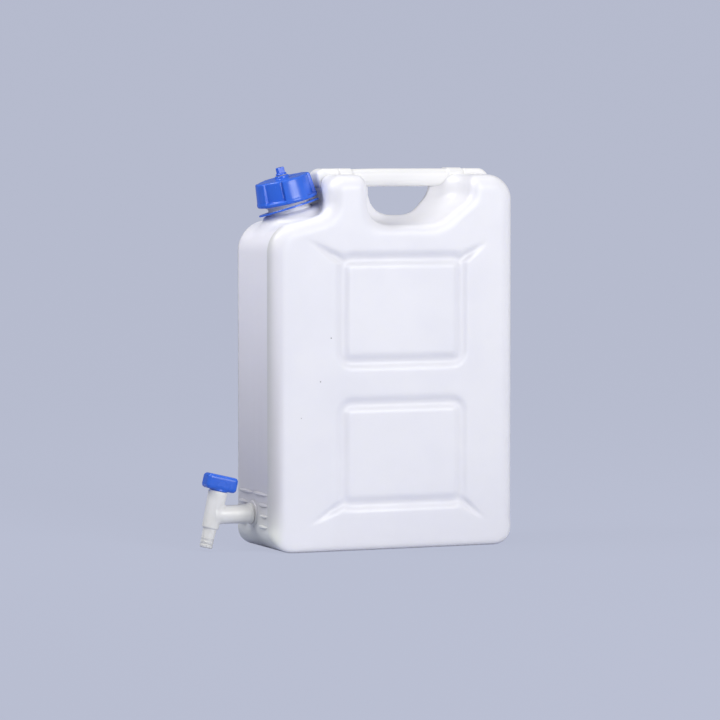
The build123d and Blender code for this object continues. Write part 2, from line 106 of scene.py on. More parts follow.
class Tree:
    # A node tree whose nodes are added by one method
    def __init__(self, tree):
        self.tree = tree
        self.tree.nodes.clear()

    def node(self, kind, settings=None, inputs=None, output=0):
        made = self.tree.nodes.new(kind)
        for key, value in (settings or {}).items():
            setattr(made, key, value)
        for key, value in (inputs or {}).items():
            if isinstance(value, Term):
                value = value.value
            if isinstance(value, bpy.types.NodeSocket):
                self.tree.links.new(value, made.inputs[key])
            else:
                made.inputs[key].default_value = value
        return Term(self, made.outputs[output] if len(made.outputs) else None)


class Surface(Tree):
    # A material
    def __init__(self, name):
        self.material = bpy.data.materials.new(name)
        self.material.use_nodes = True
        super().__init__(self.material.node_tree)

    def place(self):
        return self.node("ShaderNodeTexCoord", output=3)

    def axes(self):
        split = self.node("ShaderNodeSeparateXYZ", None, {0: self.place()}).value.node
        return [Term(self, socket) for socket in split.outputs]

    def noise(self, scale, detail, stretch=None):
        vector = self.place()
        if stretch:
            vector = self.node("ShaderNodeMapping", None, {"Vector": vector, "Scale": stretch})
        return self.node("ShaderNodeTexNoise", None, {"Vector": vector, "Scale": scale, "Detail": detail})

    def ramp(self, value, low, high, start=0, end=1):
        sockets = {"Value": value, "From Min": low, "From Max": high, "To Min": start, "To Max": end}
        return self.node("ShaderNodeMapRange", {"interpolation_type": "SMOOTHSTEP"}, sockets)

    def mix(self, share, first, second):
        inputs = {0: share, 6: first, 7: second}
        return self.node("ShaderNodeMix", {"data_type": "RGBA"}, inputs, 2)

    def bump(self, height, distance, strength):
        inputs = {"Height": height, "Distance": distance, "Strength": strength}
        return self.node("ShaderNodeBump", None, inputs)

    def close(self, **sockets):
        named = {key.replace("_", " "): value for key, value in sockets.items()}
        shader = self.node("ShaderNodeBsdfPrincipled", None, named)
        self.node("ShaderNodeOutputMaterial", None, {"Surface": shader})
        return self.material


class Recipe(Tree):
    # A Geometry Nodes tree with named inputs
    def __init__(self, name, sizes):
        super().__init__(bpy.data.node_groups.new(name, "GeometryNodeTree"))
        self.sizes = sizes
        self.tree.interface.new_socket("Geometry", in_out="OUTPUT", socket_type="NodeSocketGeometry")
        for key, value in sizes.items():
            kind = "Int" if isinstance(value, int) else "Float"
            self.tree.interface.new_socket(key, in_out="INPUT", socket_type="NodeSocket" + kind)
        self.given = self.tree.nodes.new("NodeGroupInput")

    def size(self, key):
        return Term(self, self.given.outputs[key])

    def grow(self, name, geometry, material):
        # Ends the tree, runs it once and keeps the result as a plain mesh
        solid = self.node("GeometryNodeRealizeInstances", None, {0: geometry})
        dressed = self.node("GeometryNodeSetMaterial", None, {0: solid, "Material": material})
        self.node("NodeGroupOutput", None, {0: dressed})
        maker = bpy.data.objects.new(name + "Maker", bpy.data.meshes.new(name + "Maker"))
        bpy.context.collection.objects.link(maker)
        modifier = maker.modifiers.new("recipe", "NODES")
        modifier.node_group = self.tree
        for item in self.tree.interface.items_tree:
            if item.in_out == "INPUT":
                modifier[item.identifier] = self.sizes[item.name]
        bpy.context.view_layer.update()
        grown = maker.evaluated_get(bpy.context.evaluated_depsgraph_get())
        mesh = bpy.data.meshes.new_from_object(grown)
        bpy.data.objects.remove(maker)
        mesh.name = name
        mesh.polygons.foreach_set("use_smooth", [True] * len(mesh.polygons))
        mesh.set_sharp_from_angle(angle=math.radians(sharpTurn))
        piece = bpy.data.objects.new(name, mesh)
        bpy.context.collection.objects.link(piece)
        print(name + ",", len(mesh.polygons), "faces")
        return piece


body = {
    "length": 355.0,
    "depth": 146.0,
    "height": 504.0,
    "edgeRound": 20.0,  # edges of the two wide faces
    "footRound": 6.0,  # the same edges along the base
    "footReach": 36.0,
    "baseRound": 30.0,
    "backRound": 35.0,
    "pillarRound": 23.0,
    "valleyRound": 20.0,
    "shoulderRound": 42.0,
    "shoulderHeight": 432.8,
    "shoulderAngle": 14.0,
    "pillarInset": 84.5,
    "capRoomRadius": 46.0,
    "capRoomFloor": 0.5,  # above the shoulder, along the neck
    "capRoomCorner": 8.0,
    "capRoomBlend": 18.0,
    "neckInset": 55.7,
    "cell": 3.0,  # spacing of the surface net
    "arcStep": 5.0,  # degrees between the points of a rounded corner
}
opening = {
    "hole": {"left": -10.0, "bottom": 449.0, "run": 52.0, "knee": (78.0, 478.0), "top": 84.0},
    "pocket": {"left": -38.0, "bottom": 437.0, "run": 66.0, "knee": (112.0, 474.0), "top": 118.0},
    "topHeight": 544.0,
    "webHalf": 3.0,
    "rimBlend": 15.0,
    "cornerBlends": (36.0, 11.0, 6.0),
}
panels = {
    "left": -76.0,
    "right": 97.0,
    "spans": ((63.0, 197.2), (253.7, 391.6)),
    "round": 14.0,
    "halfWidth": 11.5,
    "depth": 4.4,
    "sideDepth": 3.4,
    "tips": (((-76.0, 63.0), (-130.0, 33.5)), ((97.0, 63.0), (137.0, 33.0)),
             ((-76.0, 391.6), (-132.0, 420.0)), ((97.0, 391.6), (137.0, 415.0))),
    "armHalfWidth": 10.5,
    "armDepth": 4.4,
    "armTip": 0.12,  # an arm's width at its tip, and its run-in, as shares
    "blend": 1.0,
    "faintest": 0.25,
}


def smoothMax(first, second, blend):
    overlap = np.maximum(blend - np.abs(first - second), 0) / blend
    return np.maximum(first, second) + overlap * overlap * blend / 4


def smoothMin(first, second, blend):
    return -smoothMax(-first, -second, blend)


def shoulderAt(x):
    rise = math.tan(math.radians(body["shoulderAngle"]))
    return body["shoulderHeight"] + (x + body["length"] / 2) * rise


def neckAxis():
    x = body["neckInset"] - body["length"] / 2
    tilt = math.radians(body["shoulderAngle"])
    return np.array([x, 0, shoulderAt(x)]), np.array([-math.sin(tilt), 0, math.cos(tilt)])


def roundedOutline(corners, radii):
    # Points round a polygon whose corners are arcs
    points = []
    for index, (corner, radius) in enumerate(zip(corners, radii)):
        corner = np.array(corner)
        back = np.array(corners[index - 1]) - corner
        ahead = np.array(corners[(index + 1) % len(corners)]) - corner
        back, ahead = back / np.linalg.norm(back), ahead / np.linalg.norm(ahead)
        half = math.acos(np.clip(back @ ahead, -1, 1)) / 2
        centre = corner + (back + ahead) / np.linalg.norm(back + ahead) * radius / math.sin(half)
        first = corner + back * radius / math.tan(half) - centre
        turn = math.pi - 2 * half
        way = math.copysign(1, back[0] * ahead[1] - back[1] * ahead[0]) * -1
        steps = max(int(math.degrees(turn) / body["arcStep"]), 2)
        for step in range(steps + 1):
            angle = way * turn * step / steps
            spin = np.array([[math.cos(angle), -math.sin(angle)], [math.sin(angle), math.cos(angle)]])
            points.append(centre + spin @ first)
    return np.array(points)


def sideOutline():
    half = body["length"] / 2
    pillar = body["pillarInset"] - half
    corners = [
        (-half, 0), (half, 0), (half, body["height"]), (pillar, body["height"]),
        (pillar, shoulderAt(pillar)), (-half, shoulderAt(-half)),
    ]
    names = ["baseRound", "baseRound", "backRound", "pillarRound", "valleyRound", "shoulderRound"]
    return roundedOutline(corners, [body[name] for name in names])


def outlineDistance(x, z, outline):
    # Signed distance to a closed outline, negative inside
    nearest = np.full(x.shape, 1e9)
    inside = np.zeros(x.shape, bool)
    for (ax, az), (bx, bz) in zip(outline, np.roll(outline, -1, axis=0)):
        runX, runZ = bx - ax, bz - az
        share = np.clip(((x - ax) * runX + (z - az) * runZ) / (runX ** 2 + runZ ** 2 + 1e-12), 0, 1)
        nearest = np.minimum(nearest, (x - ax - share * runX) ** 2 + (z - az - share * runZ) ** 2)
        if abs(runZ) > 1e-9:
            crosses = (az > z) != (bz > z)
            inside ^= crosses & (x < ax + (z - az) / runZ * runX)
    return np.where(inside, -1, 1) * np.sqrt(nearest)


def grooveDepth(x, z):
    # How deep the pressed grooves are at a place on a wide face
    depth = np.zeros(x.shape)
    middle, halfLength = (panels["left"] + panels["right"]) / 2, (panels["right"] - panels["left"]) / 2
    corner = panels["round"]
    for low, high in panels["spans"]:
        overX = np.abs(x - middle) - halfLength + corner
        overZ = np.abs(z - (low + high) / 2) - (high - low) / 2 + corner
        outside = np.hypot(np.maximum(overX, 0), np.maximum(overZ, 0))
        away = np.abs(outside + np.minimum(np.maximum(overX, overZ), 0) - corner) / panels["halfWidth"]
        sideways = np.clip((overX - overZ) / corner + 0.5, 0, 1)
        deep = panels["depth"] + (panels["sideDepth"] - panels["depth"]) * sideways
        depth = smoothMax(depth, deep * np.maximum(1 - away ** 2, 0) ** 1.5, panels["blend"])
    for start, tip in panels["tips"]:
        inward = np.sign([middle - start[0], sum(map(sum, panels["spans"])) / 4 - start[1]])
        start = np.array(start) + inward * corner * (1 - math.sqrt(0.5))
        run = np.array(tip) - start
        along = ((x - start[0]) * run[0] + (z - start[1]) * run[1]) / (run @ run)
        across = np.abs((x - start[0]) * run[1] - (z - start[1]) * run[0]) / math.sqrt(run @ run)
        left = np.clip(1 - np.maximum(along, 0), 0, 1)
        width = panels["armHalfWidth"] * (panels["armTip"] + (1 - panels["armTip"]) * left)
        fade = np.clip((along + panels["armTip"]) / panels["armTip"], 0, 1)
        rib = np.maximum(1 - (across / width) ** 2, 0) ** 1.5
        arm = panels["armDepth"] * np.minimum(1, 1.5 * left) * rib * fade
        depth = smoothMax(depth, arm, panels["blend"])
    return np.maximum(depth - panels["faintest"], 0)


def openingDistance(x, y, z):
    # Signed distance, roughly, to the finger opening, negative in the air
    web = opening["webHalf"]
    out = np.sqrt(y ** 2 + web ** 2) - web
    reach = body["depth"] / 2 - web
    share = 1 - np.clip(1 - out / reach, 0, 1) ** 4
    hole, pocket = opening["hole"], opening["pocket"]

    def between(first, second):
        return first + (second - first) * share

    left = between(hole["left"], pocket["left"])
    bottom = between(hole["bottom"], pocket["bottom"])
    run = between(hole["run"], pocket["run"])
    kneeX = between(hole["knee"][0], pocket["knee"][0])
    kneeZ = between(hole["knee"][1], pocket["knee"][1])
    top = between(hole["top"], pocket["top"])

    def side(ax, az, bx, bz):
        length = np.hypot(bx - ax, bz - az)
        return ((x - ax) * (bz - az) - (z - az) * (bx - ax)) / length

    first, second, third = opening["cornerBlends"]
    foot = smoothMax(left - x, bottom - z, first)
    slope = smoothMax(side(run, bottom, kneeX, kneeZ), side(kneeX, kneeZ, top, opening["topHeight"]), third)
    steep = 4 * (hole["left"] - pocket["left"]) / reach * np.clip(1 - out / reach, 0, 1) ** 3
    return smoothMax(foot, slope, second) / np.sqrt(1 + (0.8 * steep) ** 2)


def capRoom(points):
    # Distance to the room the cap turns in, then from the neck's axis and along it
    base, axis = neckAxis()
    away = points - base
    height = away @ axis
    radial = np.linalg.norm(away - height[:, None] * axis, axis=1)
    room = smoothMax(radial - body["capRoomRadius"], body["capRoomFloor"] - height, body["capRoomCorner"])
    return room, radial, height


def bodyDistance(points, outline):
    x, y, z = points.T
    rise = np.clip(z / body["footReach"], 0, 1)
    edge = body["footRound"] + (body["edgeRound"] - body["footRound"]) * rise ** 2 * (3 - 2 * rise)
    flat = outlineDistance(x, z, outline)
    overSide = flat + edge
    overFace = np.abs(y) - (body["depth"] / 2 - grooveDepth(x, z)) + edge
    block = np.hypot(np.maximum(overSide, 0), np.maximum(overFace, 0))
    block = block + np.minimum(np.maximum(overSide, overFace), 0) - edge
    room, radial, height = capRoom(points)
    block = smoothMax(block, -room, body["capRoomBlend"])
    swell = puck(
        radial, height, neck["swellRadius"], -neck["swellDepth"], neck["swell"], neck["swellRound"])
    block = smoothMin(block, swell, neck["swellBlend"])
    return smoothMax(block, -openingDistance(x, y, z), opening["rimBlend"])


def slope(distance, points, step=0.05):
    columns = []
    for axis in range(3):
        shift = np.zeros(3)
        shift[axis] = step
        columns.append((distance(points + shift) - distance(points - shift)) / (2 * step))
    return np.stack(columns, axis=1)


def spread(low, high, cell, fine=()):
    # Grid places from low to high, closer together inside the fine spans
    places = [low]
    while places[-1] < high:
        steps = [step for first, last, step in fine if first <= places[-1] < last]
        places.append(places[-1] + min(steps + [cell]))
    return np.array(places)


def surfaceNet(distance, lines):
    # A closed quad mesh of the zero surface of a distance, outward normals
    counts = [len(line) for line in lines]
    cell = max(np.diff(line).max() for line in lines)
    grid = np.stack(np.meshgrid(*lines, indexing="ij"), axis=-1)
    value = distance(grid.reshape(-1, 3)).reshape(counts)
    inside = value < 0
    cells = [count - 1 for count in counts]
    total = np.zeros(cells + [3])
    crossings = np.zeros(cells)
    for axis in range(3):
        others = [k for k in range(3) if k != axis]
        near = [slice(None)] * 3
        far = [slice(None)] * 3
        near[axis], far[axis] = slice(0, -1), slice(1, None)
        first, second = value[tuple(near)], value[tuple(far)]
        crossed = (first < 0) != (second < 0)
        share = np.where(crossed, first / np.where(crossed, first - second, 1), 0)
        place = grid[tuple(near)] + share[..., None] * (grid[tuple(far)] - grid[tuple(near)])
        for a in (0, 1):
            for b in (0, 1):
                pick = [slice(None)] * 3
                pick[others[0]] = slice(a, cells[others[0]] + a)
                pick[others[1]] = slice(b, cells[others[1]] + b)
                hit = crossed[tuple(pick)]
                total += place[tuple(pick)] * hit[..., None]
                crossings += hit
    used = crossings > 0
    index = np.full(cells, -1)
    index[used] = np.arange(used.sum())
    points = total[used] / crossings[used][:, None]
    quads = []
    for axis in range(3):
        b, c = (axis + 1) % 3, (axis + 2) % 3
        near = [slice(1, -1)] * 3
        near[axis] = slice(0, -1)
        far = list(near)
        far[axis] = slice(1, None)
        first, second = inside[tuple(near)], inside[tuple(far)]
        for rising in (True, False):
            where = np.argwhere((first & ~second) if rising else (~first & second))
            where[:, b] += 1
            where[:, c] += 1
            ring = []
            for stepB, stepC in ((-1, -1), (0, -1), (0, 0), (-1, 0)):
                cell3 = where.copy()
                cell3[:, b] += stepB
                cell3[:, c] += stepC
                ring.append(index[tuple(cell3.T)])
            quads.append(np.stack(ring if rising else ring[::-1], axis=1))
    for _ in range(projections):
        lean = slope(distance, points)
        size = np.maximum((lean ** 2).sum(axis=1), 1e-6)
        move = (distance(points) / size)[:, None] * lean
        points = points - np.clip(move, -cell, cell)
    return points, np.concatenate(quads)


def meshPiece(name, points, faces, material, sharp=False):
    # A piece from points in millimetres and lists of corners
    mesh = bpy.data.meshes.new(name)
    mesh.from_pydata((np.asarray(points) * mm).tolist(), [], np.asarray(faces).tolist())
    mesh.validate()
    mesh.polygons.foreach_set("use_smooth", [True] * len(mesh.polygons))
    if sharp:
        mesh.set_sharp_from_angle(angle=math.radians(sharpTurn))
    mesh.materials.append(material)
    piece = bpy.data.objects.new(name, mesh)
    bpy.context.collection.objects.link(piece)
    return piece


def makeCanisterSkin(material):
    outline = sideOutline()
    half, room, cell = body["length"] / 2, body["cell"] * 1.87, body["cell"]
    lines = [
        spread(-half - room, half + room, cell),
        spread(-body["depth"] / 2 - room, body["depth"] / 2 + room, cell),
        spread(-room, body["height"] + room, cell),
    ]
    points, quads = surfaceNet(lambda where: bodyDistance(where, outline), lines)
    skin = meshPiece("canisterSkin", points, quads, material)
    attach(skin, "canister")
    print("canister skin,", len(points), "points")
    return skin


def puck(away, along, radius, low, high, edge):
    # Distance to a cylinder with rounded ends
    overSide = away - radius + edge
    overEnd = np.abs(along - (low + high) / 2) - (high - low) / 2 + edge
    outside = np.hypot(np.maximum(overSide, 0), np.maximum(overEnd, 0))
    return outside + np.minimum(np.maximum(overSide, overEnd), 0) - edge


def block(offsets, halves, edge):
    # Distance to a box with rounded edges
    over = np.stack([np.abs(offset) - half + edge for offset, half in zip(offsets, halves)])
    outside = np.sqrt((np.maximum(over, 0) ** 2).sum(axis=0))
    return outside + np.minimum(over.max(axis=0), 0) - edge


def lathe(name, profile, base, tilt, material, steps=96):
    # A closed turned piece from (radius, height) points; tilt is the axis's lean along X
    points, faces = [], []
    for step in range(steps):
        turn = 2 * math.pi * step / steps
        for radius, height in profile:
            x, y = radius * math.cos(turn), radius * math.sin(turn)
            points.append((
                base[0] + x * math.cos(tilt) + height * math.sin(tilt),
                base[1] + y,
                base[2] - x * math.sin(tilt) + height * math.cos(tilt),
            ))
    count = len(profile)
    for step in range(steps):
        here, there = step * count, (step + 1) % steps * count
        for index in range(count):
            ahead = (index + 1) % count
            faces.append((here + index, there + index, there + ahead, here + ahead))
    return meshPiece(name, points, faces, material, sharp=True)


handle = {
    "top": 512.0,
    "width": 28.0,
    "height": 24.5,
    "round": 9.0,
    "ends": (-60.0, 127.0),
    "collars": ((-56.5, -37.9), (102.9, 124.5)),
    "collarProud": 1.2,
    "barEdge": 1.0,
    "collarEdge": 1.2,
    "pads": ((-58.6, -83.0), (126.6, 154.2)),  # inner and outer end of each
    "padSlope": 9.0,
    "padFoot": 486.0,
    "padRound": 3.5,
    "droop": 2.0,  # how much lower the bar's tap end lies
    "droopRun": 45.0,
    "cell": 1.6,
}


def handleDistance(points):
    x, y, z = points.T
    left = np.clip(1 - (x - handle["collars"][0][1]) / handle["droopRun"], 0, 1)
    middle = handle["top"] - handle["height"] / 2 - handle["droop"] / 2 * left ** 2

    def bar(ends, extra, edge):
        half = (ends[1] - ends[0]) / 2
        overY = np.abs(y) - handle["width"] / 2 - extra + handle["round"]
        overZ = np.abs(z - middle) - handle["height"] / 2 - extra + handle["round"]
        section = np.hypot(np.maximum(overY, 0), np.maximum(overZ, 0))
        section = section + np.minimum(np.maximum(overY, overZ), 0) - handle["round"]
        return smoothMax(section, np.abs(x - sum(ends) / 2) - half, edge)

    shape = bar(handle["ends"], 0, handle["barEdge"])
    for ends in handle["collars"]:
        shape = np.minimum(shape, bar(ends, handle["collarProud"], handle["collarEdge"]))
    for inner, outer in handle["pads"]:
        way = math.copysign(1, outer - inner)
        fall = handle["top"] - body["height"]
        steep = math.hypot(handle["padSlope"], fall)
        end = ((x - outer) * way * fall + (z - handle["top"]) * handle["padSlope"]) / steep
        pad = smoothMax(np.abs(y) - handle["width"] / 2, z - handle["top"], handle["padRound"])
        end = smoothMax(end, (x - outer) * way - handle["padSlope"], handle["padRound"])
        pad = smoothMax(pad, end, handle["padRound"])
        pad = np.maximum(pad, np.maximum((inner - x) * way, handle["padFoot"] - z))
        shape = np.minimum(shape, pad)
    return smoothMax(shape, -capRoom(points)[0], handle["padRound"])


def makeHandle(material):
    cell = handle["cell"]
    reach = [outer + math.copysign(handle["padSlope"] + 3, outer) for inner, outer in handle["pads"]]
    lines = [
        spread(reach[0] - 0.3, reach[1], cell, ((-62, -54, 0.8), (122, 130, 0.8))),
        spread(-handle["width"] / 2 - 3.1, handle["width"] / 2 + 3, cell),
        spread(handle["padFoot"] - 3.1, handle["top"] + 3, cell),
    ]
    points, quads = surfaceNet(handleDistance, lines)
    bar = meshPiece("handleBar", points, quads, material)
    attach(bar, "canister")
    print("handle,", len(points), "points")


neck = {
    "collarRadius": 34.0,
    "collarHeight": 8.5,
    "radius": 28.5,
    "bore": 25.5,
    "height": 48.0,
    "root": 8.0,
    "swell": 6.2,  # the shoulder's rise to the collar
    "swellRadius": 34.6,
    "swellDepth": 22.0,
    "swellRound": 2.0,
    "swellBlend": 24.0,
    "beadRadius": 31.0,
    "bead": (19.0, 22.0),
    "threadTurns": 1.6,
    "threadStart": 28.0,
    "threadRise": 12.0,
    "threadRound": 1.2,
}


def makeNeck(material):
    low, high = neck["bead"]
    profile = [
        (neck["bore"], -neck["root"]), (neck["bore"], neck["height"] - 1),
        (neck["bore"] + 1, neck["height"]), (neck["radius"] - 0.7, neck["height"]),
        (neck["radius"], neck["height"] - 0.7), (neck["radius"], high + 1),
        (neck["beadRadius"], high), (neck["beadRadius"], low), (neck["radius"], low - 1),
        (neck["radius"], neck["collarHeight"] + 2.5), (neck["radius"] + 0.8, neck["collarHeight"] + 0.8),
        (neck["radius"] + 2.5, neck["collarHeight"]),
        (neck["collarRadius"] - 1, neck["collarHeight"]),
        (neck["collarRadius"], neck["collarHeight"] - 1), (neck["collarRadius"], -neck["root"]),
    ]
    tilt = -math.radians(body["shoulderAngle"])
    base, axis = neckAxis()
    tube = lathe("neckTube", profile[::-1], base, tilt, material)
    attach(tube, "canister")
    recipe = Recipe("neckThread", {
        "turns": neck["threadTurns"], "radius": neck["radius"] * mm, "rise": neck["threadRise"] * mm,
        "ridge": neck["threadRound"] * mm, "sides": 10, "steps": 96,
    })
    spiral = recipe.node("GeometryNodeCurveSpiral", None, {
        "Resolution": recipe.size("steps"), "Rotations": recipe.size("turns"),
        "Start Radius": recipe.size("radius"), "End Radius": recipe.size("radius"),
        "Height": recipe.size("rise"),
    })
    section = recipe.node("GeometryNodeCurvePrimitiveCircle", None, {
        "Resolution": recipe.size("sides"), "Radius": recipe.size("ridge")})
    ridge = recipe.node("GeometryNodeCurveToMesh", None, {
        "Curve": spiral, "Profile Curve": section, "Fill Caps": True})
    foot = (base + axis * neck["threadStart"]) * mm
    placed = recipe.node("GeometryNodeTransform", None, {
        "Geometry": ridge, "Translation": foot.tolist(), "Rotation": (0, tilt, 0)})
    thread = recipe.grow("neckThread", placed, material)
    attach(thread, "canister")


boss = {
    "height": 48.5,
    "radius": 17.0,
    "bore": 10.5,
    "proud": 2.0,
    "root": 3.0,
    "ribs": 4,
    "ribTop": 77.0,
    "ribPitch": 14.6,
    "ribRound": 2.6,
    "ribProud": 2.3,
    "ribClear": 26.0,
    "ribReach": 53.0,
}


def makeBoss(material):
    # The raised ring that the tap screws into, and the ribs pressed beside it
    face = -body["length"] / 2
    profile = [
        (boss["bore"], -boss["root"]), (boss["radius"] + 1.5, -boss["root"]),
        (boss["radius"] + 1.5, 0), (boss["radius"] + 0.3, 0.5), (boss["radius"], boss["proud"] - 0.8),
        (boss["radius"] - 0.8, boss["proud"]), (boss["bore"], boss["proud"]),
    ]
    ring = lathe("tapBoss", profile, (face, 0, boss["height"]), -math.pi / 2, material)
    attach(ring, "canister")
    recipe = Recipe("sideRibs", {
        "count": boss["ribs"], "top": boss["ribTop"] * mm, "pitch": -boss["ribPitch"] * mm,
        "round": boss["ribRound"] * mm, "sunk": face * mm + (boss["ribRound"] - boss["ribProud"]) * mm,
        "clear": boss["ribClear"] * mm, "reach": boss["ribReach"] * mm, "tap": boss["height"] * mm,
    })
    start = recipe.node("ShaderNodeCombineXYZ", None, {0: recipe.size("sunk"), 2: recipe.size("top")})
    step = recipe.node("ShaderNodeCombineXYZ", None, {2: recipe.size("pitch")})
    row = recipe.node("GeometryNodeMeshLine", None, {
        "Count": recipe.size("count"), "Start Location": start, "Offset": step})
    rod = recipe.node("GeometryNodeMeshUVSphere", None, {
        "Segments": 24, "Rings": 16, "Radius": recipe.size("round")})
    spot = recipe.node("ShaderNodeSeparateXYZ", None, {0: recipe.node("GeometryNodeInputPosition")}, 2)
    off = spot - recipe.size("tap")
    inner = recipe.node("ShaderNodeMath", {"operation": "SQRT"}, {0: recipe.node(
        "ShaderNodeMath", {"operation": "MAXIMUM"},
        {0: recipe.size("clear") * recipe.size("clear") - off * off, 1: 0.0})})
    length = recipe.size("reach") - inner
    both = []
    for side in (1, -1):
        away = recipe.node("ShaderNodeCombineXYZ", None, {1: (inner + length * 0.5) * side})
        moved = recipe.node("GeometryNodeSetPosition", None, {"Geometry": row, "Offset": away})
        stretch = recipe.node("ShaderNodeCombineXYZ", None, {
            0: 1.0, 1: length * 0.5 / recipe.size("round"), 2: 1.0})
        both.append(recipe.node("GeometryNodeInstanceOnPoints", None, {
            "Points": moved, "Instance": rod, "Scale": stretch}))
    joined = recipe.tree.nodes.new("GeometryNodeJoinGeometry")
    for half in both:
        recipe.tree.links.new(half.value, joined.inputs[0])
    ribs = recipe.grow("sideRibs", Term(recipe, joined.outputs[0]), material)
    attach(ribs, "canister")


cap = {
    "bottom": 22.0,
    "top": 54.0,
    "roof": 4.0,
    "bore": 30.2,
    "flangeRadius": 41.0,
    "flangeHeight": 4.6,
    "bayRadii": (36.2, 34.0),  # at the flange and at the roof
    "panelRadii": (40.7, 36.8),
    "panels": 4,
    "panelStart": -112.0,  # degrees round the neck
    "panelWidth": 47.0,
    "panelLead": 20.0,  # degrees of bay counted with the panel after it
    "panelSoft": 1.6,  # degrees over which a panel's side rises
    "slotWidth": 5.2,  # degrees
    "slotDepth": 1.1,
    "edge": 2.4,
    "flangeEdge": 1.2,
    "flangeBlend": 2.0,
    "boreEdge": 0.8,
    "bossRadius": 9.5,
    "bossEdge": 1.0,
    "bossBlend": 1.5,
    "bossTop": 58.0,
    "ventHole": 4.05,
    "cell": 1.05,
}


def capDistance(points):
    base, axis = neckAxis()
    tilt = math.radians(body["shoulderAngle"])
    away = points - base
    along = away @ axis
    across = away @ np.array([math.cos(tilt), 0, math.sin(tilt)])
    radial = np.hypot(across, away[:, 1])
    angle = np.degrees(np.arctan2(away[:, 1], across))
    pitch = 360 / cap["panels"]
    turn = np.mod(angle - cap["panelStart"] + cap["panelLead"], pitch) - cap["panelLead"]
    soft = cap["panelSoft"]
    panel = np.clip((turn + soft) / soft, 0, 1) * np.clip((cap["panelWidth"] - turn) / soft, 0, 1)
    slot = np.clip(1 - np.abs(turn + cap["slotWidth"] / 2) / (cap["slotWidth"] / 2), 0, 1)
    share = np.clip((along - cap["bottom"] - cap["flangeHeight"]) / (cap["top"] - cap["bottom"]), 0, 1)
    bay = cap["bayRadii"][0] + (cap["bayRadii"][1] - cap["bayRadii"][0]) * share
    proud = cap["panelRadii"][0] + (cap["panelRadii"][1] - cap["panelRadii"][0]) * share
    radius = bay + (proud - bay) * panel - cap["slotDepth"] * np.sqrt(slot)
    skirt = puck(radial, along, radius, cap["bottom"] + 0.5, cap["top"], cap["edge"])
    flangeTop = cap["bottom"] + cap["flangeHeight"]
    flange = puck(radial, along, cap["flangeRadius"], cap["bottom"], flangeTop, cap["flangeEdge"])
    shape = smoothMin(skirt, flange, cap["flangeBlend"])
    knob = puck(radial, along, cap["bossRadius"], cap["top"] - 3, cap["bossTop"], cap["bossEdge"])
    shape = smoothMin(shape, knob, cap["bossBlend"])
    roof = cap["top"] - cap["roof"]
    inside = puck(radial, along, cap["bore"], cap["bottom"] - cutPast, roof, cap["boreEdge"])
    shape = np.maximum(shape, -inside)
    hole = puck(radial, along, cap["ventHole"], cap["top"] - cutPast, cap["bossTop"] + cutPast, 0.1)
    return np.maximum(shape, -hole)


def makeCap(material):
    base, axis = neckAxis()
    cell, reach = cap["cell"], cap["flangeRadius"] + 3
    middle = base + axis * (cap["bottom"] + cap["bossTop"]) / 2
    rise = (cap["bossTop"] - cap["bottom"]) / 2 + reach * math.sin(math.radians(body["shoulderAngle"])) + 2
    lines = [
        spread(middle[0] - reach - 4.3, middle[0] + reach + 4, cell),
        spread(-reach + 0.2, reach, cell),
        spread(middle[2] - rise - 0.1, middle[2] + rise, cell),
    ]
    points, quads = surfaceNet(capDistance, lines)
    shell = meshPiece("capShell", points, quads, material)
    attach(shell, "cap")
    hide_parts("screw_cap")
    print("cap,", len(points), "points")


tap = {
    "reach": 57.5,  # narrow face to the barrel's axis
    "rise": 0.5,
    "tilt": 13.5,
    "flangeRadius": 14.5,
    "seat": 3.5,
    "flangeEnd": 6.5,
    "rootRadius": 13.4,
    "rootEnd": 18.5,
    "pipeRadius": 12.6,
    "pipeBore": 6.5,
    "nippleRadius": 10.4,
    "nippleLength": 12.0,
    "barrel": (-18.7, 32.0),
    "barrelRadii": (11.2, 13.0),
    "cavityRadius": 8.65,
    "cavityFloor": -14.0,
    "spoutTip": -45.5,
    "spoutRadii": (8.1, 9.4),
    "spoutBore": 5.5,
    "barbs": 3,
    "barbPitch": 5.0,
    "barbProud": 0.5,
    "plugRadius": 8.6,
    "wellRadius": 5.0,
    "collar": (32.4, 34.5),
    "collarRadius": 12.0,
    "grip": (44.0, 25.0, 20.5),
    "gripStart": 33.5,
    "gripRound": 5.2,
    "edge": 1.0,
    "spoutEdge": 0.5,
    "boreEdge": 0.3,
    "cell": 1.1,
}


def tapAxes(points):
    # Round and along the pipe, then along, across and round the barrel
    face = -body["length"] / 2
    centre = np.array([face - tap["reach"], 0, boss["height"] + tap["rise"]])
    tilt = math.radians(tap["tilt"])
    pipeAway = np.hypot(points[:, 1], points[:, 2] - boss["height"])
    offset = points - centre
    along = offset @ np.array([math.sin(tilt), 0, math.cos(tilt)])
    across = offset @ np.array([math.cos(tilt), 0, -math.sin(tilt)])
    return pipeAway, face - points[:, 0], along, across, np.hypot(across, offset[:, 1])


